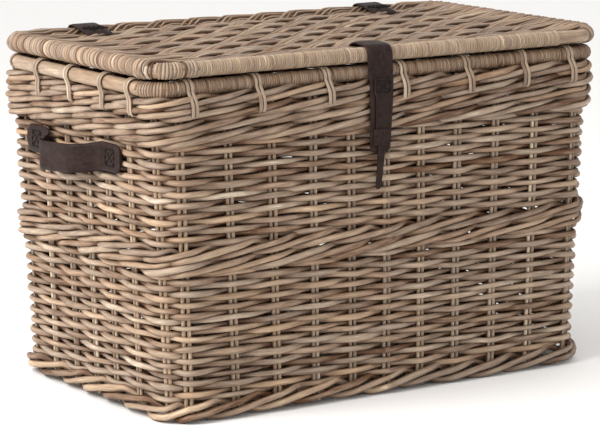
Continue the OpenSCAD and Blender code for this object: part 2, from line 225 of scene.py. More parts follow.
def cane_material(name, gloss, fibre, side_shaded=False):
    """Rattan: each rod's lightness, with painted shade where the weave hides it, and warmth, long
    fibres along it, stains and specks; some canes also get painted shade on their sides and painted
    light on their faces.
    """
    m = Material(name)
    grain = m.attribute("grain")
    light, warmth, face = m.split("tint")
    fibres = m.noise(grain, FIBRES, 4.0, 0.6)
    stains = m.noise(grain, STAINS, 3.0, 0.5)
    bark = m.noise(grain, BARK, 3.0, 0.55)
    uneven = m.math("ADD", m.math("MULTIPLY", m.math("SUBTRACT", stains, 0.5), 0.75),
                    m.math("MULTIPLY", m.math("SUBTRACT", bark, 0.5), 0.85))
    shifted = m.math("ADD", light, uneven)
    body = m.mix("MIX", warmth, m.ramp(shifted, list(zip(TONE_PLACES, COOL))),
                 m.ramp(shifted, list(zip(TONE_PLACES, WARM))))
    streaks = m.ramp(fibres, [(0.3, grey(0.72)), (0.5, grey(0.95)), (0.72, grey(1.12))])
    body = m.mix("MULTIPLY", 1.0, body, streaks)
    # Painted shade darkens each cane's sides where it meets its neighbours, and painted light lifts
    # its face.
    if side_shaded:
        body = m.mix("MULTIPLY", 1.0, body, m.ramp(face, SIDE_SHADE_FACE_LIGHT))
    specks = m.noise(grain, SPECKS, 2.0, 0.5)
    spots = m.ramp(specks, [(0.64, grey(0.0)), (0.74, grey(1.0))])
    body = m.mix("MIX", m.math("MULTIPLY", spots, 0.35), body, SPECK)
    rough = m.add("MapRange", None, {0: fibres, 1: 0.3, 2: 0.7, 3: gloss - 0.08, 4: gloss + 0.16})
    relief = m.bump(fibres, fibre, 0.0006)
    m.set(m.shader, {"Base Color": body, "Roughness": rough, "Normal": relief,
                     "Specular IOR Level": 0.35})
    return m.made


def leather_material(name, dark, mid, worn):
    """Dark oiled leather: pebbled grain, soft blotches, lighter worn edges."""
    m = Material(name)
    grain = m.attribute("grain")
    wear = m.split("tint")[0]
    pebble = m.add("TexVoronoi", {"feature": "SMOOTH_F1"},
                   {"Vector": grain, "Scale": 900.0, "Smoothness": 0.7})
    folds = m.noise(grain, FOLDS, 4.0, 0.6)
    blotch = m.noise(grain, BLOTCHES, 3.0, 0.5)
    body = m.ramp(blotch, [(0.3, dark), (0.55, mid), (0.8, dark)])
    edge = m.math("MULTIPLY", wear, m.add("MapRange", None, {0: folds, 1: 0.35, 2: 0.65}))
    body = m.mix("MIX", edge, body, worn)
    rough = m.add("MapRange", None, {0: blotch, 1: 0.3, 2: 0.7, 3: 0.5, 4: 0.68})
    relief = m.bump(pebble, 0.35, 0.0004)
    relief = m.bump(folds, 0.3, 0.0008, relief)
    m.set(m.shader, {"Base Color": body, "Roughness": rough, "Normal": relief,
                     "Specular IOR Level": 0.16})
    return m.made


def thread_material(name, colour, lit):
    """Waxed thread: twisted plies along each stitch, lighter on their ridges as a painted highlight.
    """
    m = Material(name)
    grain = m.attribute("grain")
    wave = m.add("TexWave", {"wave_type": "BANDS", "bands_direction": "DIAGONAL"},
                 {"Vector": grain, "Scale": 420.0, "Distortion": 1.0})
    # The lit colour is a painted highlight on the plies' raised bands.
    body = m.ramp(wave, [(0.2, colour), (0.8, lit)])
    m.set(m.shader, {"Base Color": body, "Roughness": 0.6, "Normal": m.bump(wave, 0.5, 0.0003),
                     "Specular IOR Level": 0.15})
    return m.made


def floor_material():
    m = Material("pale_floor")
    spot = m.add("TexNoise", None, {"Scale": 3.0, "Detail": 2.0})
    body = m.ramp(spot, [(0.3, grey(0.90)), (0.7, grey(0.93))])
    m.set(m.shader, {"Base Color": body, "Roughness": 0.8})
    return m.made


weave_look = cane_material("weathered_cane", 0.52, 0.5, side_shaded=True)
stake_look = cane_material("stake_cane", 0.55, 0.4, side_shaded=True)
peel_look = cane_material("peeled_cane", 0.42, 0.3)
pole_look = cane_material("pole_cane", 0.4, 0.25)
strap_look = leather_material("dark_leather", srgb(22, 12, 11), srgb(34, 22, 19), srgb(70, 50, 44))
thread_look = thread_material("waxed_thread", srgb(12, 9, 8), srgb(26, 20, 18))

# ---- Swept rods ----


def unit(vectors):
    return vectors / np.linalg.norm(vectors, axis=-1, keepdims=True)


def headings(path):
    """Unit vectors along an open chain of points."""
    return unit(np.gradient(path, axis=0))


def lengths(path):
    """Length of a chain of points up to each of them."""
    return np.concatenate([[0], np.cumsum(np.linalg.norm(np.diff(path, axis=0), axis=1))])


def soften(points, times=2, closed=False):
    """Rounds off a chain of points; an open one keeps its ends."""
    points = np.asarray(points, float)
    for _ in range(times):
        here, there = (points, np.roll(points, -1, 0)) if closed else (points[:-1], points[1:])
        cut = np.stack([here * 0.75 + there * 0.25, here * 0.25 + there * 0.75], 1)
        cut = cut.reshape(-1, points.shape[1])
        points = cut if closed else np.concatenate([points[:1], cut, points[-1:]])
    return points


def resample(points, step):
    """Points at even steps along a chain."""
    length = lengths(points)
    at = np.linspace(0, length[-1], max(int(length[-1] / step), 2))
    return np.stack([np.interp(at, length, points[:, i]) for i in range(points.shape[1])], 1)


def round_section(sides):
    a = np.arange(sides) * 2 * math.pi / sides
    return np.stack([np.cos(a), np.sin(a)], 1)


def flat_section(columns, edge):
    """A strap's section: flat faces in some columns, with edges rounded over the share edge."""
    u = np.linspace(-1, 1, columns)
    v = np.where(np.abs(u) > 0.999, edge, 1.0)
    return np.concatenate([np.stack([u, -v], 1), np.stack([u[::-1], v[::-1]], 1)])


ROUND = round_section(8)
CANE_SECTION = np.array([[1, -0.6], [0.75, 0.6], [0, 1], [-0.75, 0.6], [-1, -0.6], [0, -1]])


class Rods:
    """Gathers swept rods into one mesh, whose points carry two vectors for the materials.

    grain is the place along, across and through the rod, in metres. tint is its lightness, or wear
    on leather, with painted shade where the weave hides the rod; its warmth; and how far the point
    faces out or in: 0 at the rod's sides, 1 at most, from which cane gets painted shade and light.
    """

    def __init__(self):
        self.points, self.quads, self.caps = [], [], []
        self.grain, self.tint = [], []
        self.count = 0

    def add(self, path, out, width, thick=None, light=0.5, warm=0.3, section=ROUND, closed=False):
        """Sweeps a section along a path; out is the way its face looks, width and thick its size."""
        path = np.asarray(path, float)
        n, k = len(path), len(section)
        width = np.broadcast_to(width, n).astype(float)
        thick = width if thick is None else np.broadcast_to(thick, n).astype(float)
        along = unit(np.roll(path, -1, 0) - np.roll(path, 1, 0)) if closed else headings(path)
        out = np.broadcast_to(out, path.shape)
        out = unit(out - (out * along).sum(1, keepdims=True) * along)
        side = np.cross(along, out)
        u = section[None, :, 0] * width[:, None] / 2
        v = section[None, :, 1] * thick[:, None] / 2
        ring = path[:, None] + side[:, None] * u[..., None] + out[:, None] * v[..., None]
        length = lengths(path) + rng.uniform(0, 50)
        first = self.count + np.arange(n if closed else n - 1) * k
        last = self.count + (np.arange(len(first)) + 1) % n * k
        a, b = np.arange(k), (np.arange(k) + 1) % k
        self.quads.append(np.stack([first[:, None] + a, last[:, None] + a,
                                    last[:, None] + b, first[:, None] + b], 2).reshape(-1, 4))
        if not closed:
            self.caps += [(self.count + a).tolist(), (self.count + (n - 1) * k + a[::-1]).tolist()]
        self.points.append(ring.reshape(-1, 3))
        self.grain.append(np.stack([np.broadcast_to(length[:, None], u.shape), u, v], 2))
        tint = np.reshape(light, (-1, 1)), np.reshape(warm, (-1, 1)), np.abs(section[:, 1])
        self.tint.append(np.stack([np.broadcast_to(part, (n, k)) for part in tint], 2))
        self.count += n * k

    def mesh(self, name, look):
        """One object with all the rods, smooth along them and flat at their ends."""
        faces = np.concatenate(self.quads).tolist() + self.caps
        mesh = bpy.data.meshes.new(name)
        mesh.from_pydata(np.concatenate(self.points).tolist(), [], faces)
        for key, rows in (("grain", self.grain), ("tint", self.tint)):
            data = np.concatenate([r.reshape(-1, 3) for r in rows]).astype(np.float32)
            attribute = mesh.attributes.new(key, "FLOAT_VECTOR", "POINT")
            attribute.data.foreach_set("vector", data.ravel())
        smooth = np.ones(len(faces), bool)
        smooth[len(faces) - len(self.caps):] = False
        mesh.polygons.foreach_set("use_smooth", smooth)
        mesh.materials.append(look)
        obj = bpy.data.objects.new(name, mesh)
        bpy.context.scene.collection.objects.link(obj)
        return obj

    def piece(self, name, look, slot, body, *nodes):
        """The rods as a piece that rides on a body and stands for CAD nodes."""
        obj = self.mesh(name, look)
        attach(obj, body)
        if nodes:
            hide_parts(*nodes)

    def bending_piece(self, name, look, slot, bodies, start, end, *nodes):
        """The rods as a piece fixed where they stand, for leather that crosses a joint, standing for
        CAD nodes.
        """
        obj = self.mesh(name, look)
        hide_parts(*nodes)
        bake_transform(obj)


# ---- What the frame says about the wall, its stakes and the poles ----


def vertices(node):
    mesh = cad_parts[node].data
    flat = np.empty(len(mesh.vertices) * 3)
    mesh.vertices.foreach_get("co", flat)
    return flat.reshape(-1, 3)


def corners(node):
    low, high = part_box(node)
    return np.array(low), np.array(high)


def band_edge(node, top):
    """Height, half width, half depth and corner radius of a wall band's upper or lower edge."""
    points = vertices(node)
    z = points[:, 2].max() if top else points[:, 2].min()
    ring = points[np.abs(points[:, 2] - z) < 1e-4]
    half_u, half_v = ring[:, 0].max(), ring[:, 1].max()
    straight = ring[ring[:, 1] > half_v - 1e-5]
    return z, half_u, half_v, half_u - straight[:, 0].max()


def pole_ring(node):
    """Half width, half depth, corner radius and height of a bent pole's centre line, its radius."""
    low, high = corners(node)
    r = (high[2] - low[2]) / 2
    straight = vertices(node)
    straight = straight[straight[:, 1] > high[1] - 1e-4]
    half_u = high[0] - r
    return half_u, high[1] - r, half_u - straight[:, 0].max(), (low[2] + high[2]) / 2, r


def rounded(share, half_u, half_v, r):
    """Point and outward direction at a share of the way round a rounded rectangle.

    It starts in the middle of the front and runs towards +X.
    """
    front, bend, side = half_u - r, math.pi * r / 2, half_v - r
    quarter = front + bend + side
    s = np.mod(share, 1.0) * 4 * quarter
    turn = np.minimum(np.floor(s / quarter), 3)
    u = np.where(turn % 2 == 0, s - turn * quarter, (turn + 1) * quarter - s)
    angle = np.clip((u - front) / r, 0, math.pi / 2)
    x = np.clip(u, 0, front) + r * np.sin(angle)
    y = -side - r * np.cos(angle) + np.clip(u - front - bend, 0, None)
    sx, sy = np.where(turn < 2, 1, -1), np.where((turn == 0) | (turn == 3), 1, -1)
    out = np.stack([sx * np.sin(angle), -sy * np.cos(angle), 0 * x], -1)
    return np.stack([sx * x, sy * y], -1), out


WALL_T = 0.020                      # thickness of the woven wall
STAKE_R = 0.003
STAKE_SPREAD = 0.0035               # half the distance between a pair's two rods
low_z, low_u, low_v, low_corner = band_edge("lower_siding", False)
high_z, high_u, high_v, high_corner = band_edge("upper_siding", True)


def wall_line(share, z):
    """Point and outward direction in the middle of the wall."""
    inset = WALL_T / 2
    t = (z - low_z) / (high_z - low_z)
    half_u = low_u + (high_u - low_u) * t - inset
    half_v = low_v + (high_v - low_v) * t - inset
    return rounded(share, half_u, half_v, low_corner + (high_corner - low_corner) * t - inset)


def stake_ends(node, axis):
    """Middle of each pair of stakes at its foot and at its top, along the given axis of a wall."""
    points = vertices(node)
    middle = (points[:, 2].min() + points[:, 2].max()) / 2
    ends = []
    for part in (points[points[:, 2] < middle], points[points[:, 2] > middle]):
        part = part[np.argsort(part[:, axis])]
        groups = np.split(part, np.flatnonzero(np.diff(part[:, axis]) > 4 * STAKE_R) + 1)
        ends.append([(g.min(0) + g.max(0)) / 2 for g in groups])
    return ends


def share_of(points):
    """Where round the wall each point stands, to the nearest step of a fine grid."""
    grid = np.linspace(0, 1, 8000, endpoint=False)
    found = []
    for p in points:
        xy, _ = wall_line(grid, np.full(len(grid), p[2]))
        found.append(grid[((xy - p[:2]) ** 2).sum(1).argmin()])
    return np.array(found)


# The axis along which each wall's stakes stand side by side
STAKE_AXIS = {"front_stakes": 0, "back_stakes": 0, "left_stakes": 1, "right_stakes": 1}
feet, tops = [], []
for stake_node, wall_axis in STAKE_AXIS.items():
    foot, top = stake_ends(stake_node, wall_axis)
    feet += foot
    tops += top
order = np.argsort(share_of(feet))
foot_share, top_share = share_of(feet)[order], share_of(tops)[order]
stake_z = feet[0][2], tops[0][2]
PAIRS = len(order)


def stake_share(q, z):
    """Share of the way round at stake number q, which may lie between two stakes."""
    knots = np.arange(PAIRS + 1)
    at = np.mod(q, PAIRS)
    foot_at = np.interp(at, knots, np.append(foot_share, foot_share[0] + 1))
    top_at = np.interp(at, knots, np.append(top_share, top_share[0] + 1))
    return foot_at + (top_at - foot_at) * (z - stake_z[0]) / (stake_z[1] - stake_z[0])


def on_wall(q, z, offset, flare=0.0):
    """A path round the wall: stake number, height and distance out from the wall's middle.

    The corners stand out more towards the rim, the back left one most; flare is how much further
    out the end walls' weavers run.
    """
    xy, out = wall_line(stake_share(q, z), z)
    bent = 2 * np.abs(out[:, 0] * out[:, 1])
    full = np.where((out[:, 0] < 0) & (out[:, 1] > 0), CORNER_BACK_LEFT, CORNER_FULL)
    rise = np.clip((z - FULL_FROM) / (high_z - FULL_FROM), 0, 1)
    offset = offset + full * bent * rise + flare * np.abs(out[:, 0])
    return np.column_stack([xy + out[:, :2] * offset[:, None], z]), out


def drift(q, size, step=1.0):
    """Smooth random value along q that repeats after a full turn."""
    count = max(int(round(PAIRS / step)), 1)
    knots = rng.normal(0, size, count)
    u = np.mod(q / step, count)
    k = np.floor(u).astype(int)
    f = u - k
    f = f * f * (3 - 2 * f)
    return knots[k % count] * (1 - f) + knots[(k + 1) % count] * f


def over_two(q):
    """The wave of a weaver that goes over two sticks, 0 and 1, and under the third.

    Its shift across its row, -0.5 to 0.5, as it climbs over the two and returns under the third; its
    height, -1 to 1; and its tuck, which makes a stroke start high and end low.
    """
    u = np.mod(q + 1, 3) - 1                    # 0 and 1 over a stick, -1 and 2 under one
    under = np.where(u < -0.5, -(u + 1), 2 - u)
    climb = np.where((u < -0.5) | (u > 1.5), under, (u - 0.5) / 2)
    away = np.clip(np.abs(u - 0.5) - 0.45, 0, 1)
    return climb, np.cos(away * math.pi), -np.sin((u - 0.5) * 2 * math.pi / 3)


def cane_tones(n, light, spread=0.10):
    """Lightness and warmth of n canes; a few are paler and a few darker than the rest."""
    tone = rng.normal(light, spread, n)
    odd = rng.random(n)
    tone = np.where(odd < 0.05, tone + 0.2, np.where(odd > 0.94, tone - 0.2, tone))
    return np.clip(tone, 0.02, 0.98), np.clip(rng.beta(1.2, 3.0, n), 0, 1)


def joined(q, hidden, gap, light):
    """Lightness, warmth and thickness of a weaver of several canes, joined where it is hidden."""
    ends = [hidden]
    while ends[-1] < PAIRS - 3 * gap:
        ends.append(ends[-1] + gap * rng.integers(2, 6))
    tone, warm = cane_tones(len(ends), light)
    size = rng.normal(1.0, 0.08, len(ends))
    k = np.searchsorted(ends, q) % len(ends)
    return tone[k], warm[k], size[k]


# ---- The body's weave ----

RINGS = 9               # rings of a weaver between two stakes
STAKE_RINGS = 26
FLAT = 0.94             # a weaver's thickness for its width
RAND_D = 0.0082         # diameter of the siding's weavers
RAND_OUT = 0.0054       # how far one of them swings out from the wall's middle
RAND_LIGHT = 0.48
WALE_D = 0.0086
FOOT_D = 0.0090
WALE_IN = 0.0060        # how far the waling's weavers swing in
BEHIND_STAKE_SHADE = 0.34             # painted shade: how much darker a weaver is made where it passes behind the stakes
TIGHT = 0.10            # how much thicker the siding's weavers are at the back and the right end
FLARE = 0.0035          # how much further out the end walls' waling stands
CORNER_FULL = 0.003     # how far the weave's corners stand out at the rim
CORNER_BACK_LEFT = 0.010
FULL_FROM = 0.10        # height from which the corners stand out


def turn_steps():
    """Stake numbers all the way round the wall, RINGS of them from each pair to the next."""
    return np.arange(PAIRS * RINGS) / RINGS


def band_heights(node):
    low, high = corners(node)
    return low[2], high[2]


def make_siding(node, rows):
    """Single weavers in front of one pair of stakes and behind the next, in turn row by row."""
    z0, z1 = band_heights(node)
    pitch = (z1 - z0) / rows
    q = turn_steps()
    rods = Rods()
    for row in range(rows):
        ahead = np.cos(math.pi * (q + row))
        straight = 1 - np.arccos(ahead) * 2 / math.pi
        tone, warm, size = joined(q, 1 - row % 2, 2, RAND_LIGHT)
        z = z0 + (row + 0.5) * pitch + drift(q, 0.0006, 2) + drift(q, 0.0006, 0.5)
        swing = RAND_OUT * (0.6 * ahead + 0.4 * straight) + drift(q, 0.0005)
        path, out = on_wall(q, z, swing)
        width = RAND_D * size * (1 + drift(q, 0.05, 0.5)) * (1 + 0.05 * ahead)
        width = width * (1 + TIGHT * out[:, :2].max(1).clip(0))
        # Painted shade darkens the weaver where it passes behind a pair of stakes.
        rods.add(path, out, width, width * FLAT, light=tone - BEHIND_STAKE_SHADE * (1 - ahead) / 2, warm=warm,
                 closed=True)
    rods.piece("woven_" + node, weave_look, "cane", "trunk_body", node)


def make_waling(node, rows, diameter, swing_out, light):
    """Rows of three weavers, each in front of two stakes and behind the third."""
    z0, z1 = band_heights(node)
    z0 = max(z0, 0.55 * diameter)               # keeps the foot above the floor
    pitch = (z1 - z0) / rows
    q = turn_steps()
    rods = Rods()
    for row in range(rows):
        level = z0 + (row + 0.5) * pitch + drift(q, 0.0013, 3) + drift(q, 0.0009)
        for strand in range(3):
            climb, height, _ = over_two(q - strand)
            front = 0.5 + 0.5 * height
            offset = -WALE_IN + (swing_out + WALE_IN) * front
            tone, warm, size = joined(q, (strand + 2) % 3, 3, light)
            width = diameter * size * (1 + drift(q, 0.07, 0.5))
            z = np.maximum(level + pitch * climb, width / 2)
            path, out = on_wall(q, z, offset + drift(q, 0.0009, 1.5), FLARE)
            # Painted shade darkens each weaver where it passes behind a stake.
            rods.add(path, out, width, light=tone - BEHIND_STAKE_SHADE * (1 - front), warm=warm, closed=True)
    rods.piece("woven_" + node, weave_look, "cane_light", "trunk_body", node)


def make_stakes(node):
    """A wall's pairs of upright rods, each rod with its own slight bends."""
    mine = share_of(stake_ends(node, STAKE_AXIS[node])[0])
    rods = Rods()
    z = np.linspace(stake_z[0], stake_z[1], STAKE_RINGS)
    steps = np.arange(STAKE_RINGS)
    for k in (int(np.abs(foot_share - s).argmin()) for s in mine):
        xy, out = wall_line(stake_share(np.full(len(z), float(k)), z), z)
        along = np.cross(UP, out)
        for s in (-1, 1):
            tone, warm = cane_tones(1, 0.58)
            sway = s * STAKE_SPREAD + drift(steps, 0.0004, 4)
            path = np.column_stack([xy, z]) + along * sway[:, None]
            rods.add(path, out, 2 * STAKE_R * (1 + drift(steps, 0.05, 3)), light=tone[0],
                     warm=warm[0])
    rods.piece("rods_" + node, stake_look, "cane_dark", "trunk_body", node)


# ---- Poles, their windings and the rim's lashings ----

POLE_SIDES = 20
POLE_RINGS = 360
RIM_SQUARER = 0.008     # how much tighter the rim pole's corners are than the CAD bar's
BINDING_W = 0.0031      # the fine cane wound round the poles
BINDING_T = 0.0012
LASH_W = 0.0051         # a cane of the lashings
LASH_T = 0.0021
LASH_OUT = 0.0062       # how far a lashing stands clear of the wall's faces
LASH_LEAN = 0.0022

lid_ring = pole_ring("lid_frame_pole")
rim_u, rim_v, rim_corner, *rim_rest = pole_ring("rim_pole")
rim_ring = (rim_u, rim_v, rim_corner - RIM_SQUARER, *rim_rest)


def ring_line(ring, share):
    """Points and outward directions of a pole's centre line."""
    half_u, half_v, r, z, _ = ring
    xy, out = rounded(share, half_u, half_v, r)
    return np.column_stack([xy, np.full(len(xy), z)]), out


def ring_length(ring):
    half_u, half_v, r = ring[:3]
    return 4 * (half_u - r + half_v - r) + 2 * math.pi * r


def make_pole(name, node, ring, body, tones):
    """A bent pole in lengths of its own tone."""
    share = np.arange(POLE_RINGS) / POLE_RINGS
    path, out = ring_line(ring, share)
    k = (share * len(tones)).astype(int)
    light, warm = np.array(tones).T
    rods = Rods()
    rods.add(path, out, 2 * ring[4] * (1 + drift(share * PAIRS, 0.006)), light=light[k],
             warm=warm[k], section=round_section(POLE_SIDES), closed=True)
    rods.piece(name, pole_look, "cane_light", body, node)


def round_pole(ring, along, angle):
    """A pole's centre at places along it, and the directions at an angle up from outward there."""
    centre, out = ring_line(ring, along / ring_length(ring))
    return centre, out * np.cos(angle)[:, None] + UP * np.sin(angle)[:, None]


def wind(rods, ring, start, end, width, thick, light, warm_base, spread):
    """Cane wound round a pole from one place to another along it, in metres from the middle."""
    turns = max(int(round((end - start) / width)), 1)
    steps = 12
    widths = rng.normal(1, 0.10, turns)
    edges = np.concatenate([[0], np.cumsum(widths / widths.sum())]) * (end - start)
    at = np.arange(turns * steps + 1) / steps
    along = start + np.interp(at, np.arange(turns + 1), edges)
    centre, radial = round_pole(ring, along, at * 2 * math.pi)
    uneven = np.interp(at, np.arange(turns + 1), rng.normal(0, 0.0001, turns + 1))
    path = centre + radial * (ring[4] + thick / 2 + uneven)[:, None]
    tone, warm = cane_tones(turns + 1, light, spread)
    warm = np.clip(warm_base + (warm - 0.35) * 0.7, 0, 1)
    k = np.floor(at).astype(int)
    size = np.append(widths, 1)[k] * (end - start) / turns
    rods.add(path, radial, size * 0.97, thick, light=tone[k], warm=warm[k], section=CANE_SECTION)


def add_wrap(rods, ring, at, diameter, light, warm):
    """One rod closed round a pole, thinner below, where it would touch the pole under it."""
    angle = np.arange(POLE_SIDES) * 2 * math.pi / POLE_SIDES
    centre, radial = round_pole(ring, np.array([at]), angle)
    low = np.where(np.sin(angle) < 0, np.sin(angle), 0)
    lift = ring[4] + diameter / 2 * (0.75 + 0.5 * low)
    rods.add(centre + radial * lift[:, None], radial, diameter * 0.96, diameter * (0.9 + 0.45 * low),
             light=light, warm=warm, closed=True)


def make_rim_binding(node, middle):
    """Fine cane round a long side of the rim pole and the bends at its ends."""
    half_u, _, r = rim_ring[:3]
    reach = half_u - r + math.pi * r / 2 - 0.004
    rods = Rods()
    wind(rods, rim_ring, middle - reach, middle + reach, BINDING_W, BINDING_T, 0.33, 0.6, 0.07)
    rods.piece("wound_" + node, peel_look, "cane", "trunk_body", node)


def lash_places():
    """Each cane's axis along its wall, side and place there; the lashings' bottom and top."""
    points = vertices("rim_lashings")
    ends_x = np.abs(points[:, 0]).max() - 0.04
    found = []
    for side in (-1, 1):
        for axis, chosen in ((0, (np.abs(points[:, 0]) < ends_x) & (points[:, 1] * side > 0)),
                             (1, points[:, 0] * side > ends_x)):
            edges = np.unique(np.round(points[chosen][:, axis], 5))
            for a, b in zip(edges[::2], edges[1::2]):
                found.append((axis, side, (a + b) / 2))
    return found, points[:, 2].min(), points[:, 2].max()


def make_lashings():
    """Pairs of canes over the rim and through the wall below it."""
    half_u, half_v, _, rim_z, _ = rim_ring
    found, bottom, top = lash_places()
    reach = top - rim_z - LASH_T / 2 + 0.0006
    rods = Rods()
    for k, (axis, side, at) in enumerate(found):
        on_side = axis == 0                         # the front or the back
        wall = wall_line(np.array([0.0 if on_side else 0.25]), np.array([bottom + 0.001]))[0][0]
        wall_mid = -wall[1] if on_side else wall[0]
        pole_mid = half_v if on_side else half_u
        leg = WALL_T / 2 + (LASH_OUT if on_side else LASH_OUT + FLARE)
        if k % 2 == 0:                              # the two canes of a pair lean the same way
            lean = rng.normal(0, LASH_LEAN)
        # The loop as distances out and heights: up outside the wall, over the pole, down inside
        over = [(pole_mid + reach * math.cos(a), rim_z + reach * math.sin(a))
                for a in np.radians(np.arange(-16, 181, 12))]
        loop = ([(wall_mid + leg - 0.005, bottom), (wall_mid + leg - 0.001, bottom + 0.003),
                 (wall_mid + leg, bottom + 0.012), (wall_mid + leg - 0.0008, rim_z - 0.016)]
                + over + [(wall_mid - leg + 0.002, rim_z - 0.014), (wall_mid - leg, bottom + 0.004),
                          (wall_mid - leg + 0.004, bottom)])
        loop = soften(loop, closed=True)
        ahead = np.roll(loop, -1, 0) - np.roll(loop, 1, 0)
        path, out = np.zeros((len(loop), 3)), np.zeros((len(loop), 3))
        path[:, axis] = at + lean * (rim_z - loop[:, 1]) / 0.04
        path[:, 1 - axis], path[:, 2] = side * loop[:, 0], loop[:, 1]
        out[:, 1 - axis], out[:, 2] = side * ahead[:, 1], -ahead[:, 0]
        tone, warm = cane_tones(1, 0.56, 0.06)
        rods.add(path, out, LASH_W, LASH_T, light=tone[0], warm=0.2 + 0.4 * warm[0],
                 section=CANE_SECTION, closed=True)
    rods.piece("rim_cane_lashings", peel_look, "cane_light", "trunk_body", "rim_lashings")


# ---- Flat weaves: the lid and the floor ----


def stick_places(node):
    """Places along X of a panel's sticks, and their reach along Y, height and radius."""
    points = vertices(node)
    order_x = np.sort(points[:, 0])
    groups = np.split(order_x, np.flatnonzero(np.diff(order_x) > 0.012) + 1)
    r = (points[:, 2].max() - points[:, 2].min()) / 2
    return [(g[0] + g[-1]) / 2 for g in groups], points[:, 1].max(), points[:, 2].mean(), r


def make_sticks(name, node, body, dome):
    places, reach, z, r = stick_places(node)
    y = np.linspace(-reach, reach, 24)
    rods = Rods()
    for x in places:
        tone, warm = cane_tones(1, 0.45)
        path = np.column_stack([x + drift(y * 60 + 9, 0.0006, 4), y, z + dome(x, y)])
        rods.add(path, UP, 2 * r, light=tone[0], warm=warm[0])
    rods.piece(name, stake_look, "cane_light", body, node)


LID_ROD = 0.0047        # diameter of the lid's weavers
LID_BUNDLE = 6          # weavers that run side by side
LID_ROWS = 7
LID_STRANDS = 3         # bundles of a row: each goes over two sticks and under the third
LID_RINGS = 5           # rings of a weaver between two sticks
LID_CROWN = 0.0015
LID_SWING = 0.0044      # how far a bundle rises over a stick and drops behind it
LID_TUCK = 0.0024       # how far a stroke starts above and ends below its neighbours
LID_LIGHT = 0.38
# Painted shade: how much darker a bundle is made where it dips under a stick
LID_UNDER_SHADE = 0.20
LID_CLEAR = 0.0025      # gap between the weave and the front pole
LID_OVER = 0.004        # how far the weave reaches past the back pole's middle
LID_TURN_CLEAR = 0.010  # how far short of the long poles' middles the rods turn down


def bend_depth(y, half_v, corner):
    """How far a rounded corner reaches past the start of its bend, at a place across it."""
    beyond = max(y - (half_v - corner), 0)
    return math.sqrt(max(corner ** 2 - beyond ** 2, 0))


def lid_dome(x, y):
    """How much the lid rises towards its middle."""
    half_u, half_v = lid_ring[:2]
    return LID_CROWN * (1 - (x / half_u) ** 2) * (1 - (y / half_v) ** 2)


def end_turn(side, start, final_y, turn_x, roll_z, radius):
    """The last part of a lid weaver, from its last point over a stick round an end pole."""
    angle = np.radians(np.arange(80, -161, -20))
    arc_x = turn_x + np.cos(angle) * radius
    arc_z = roll_z + np.sin(angle) * radius
    t = np.linspace(0, 1, 6)[1:]
    ease = t * t * (3 - 2 * t)
    run = np.column_stack([abs(start[0]) + (arc_x[0] - abs(start[0])) * t,
                           start[1] + (final_y - start[1]) * ease,
                           start[2] + (arc_z[0] - start[2]) * ease])
    arc = np.column_stack([arc_x[1:], final_y + np.linspace(0, 0.004, len(arc_x) - 1) * side,
                           arc_z[1:]])
    return np.concatenate([run, arc]) * [side, 1, 1]


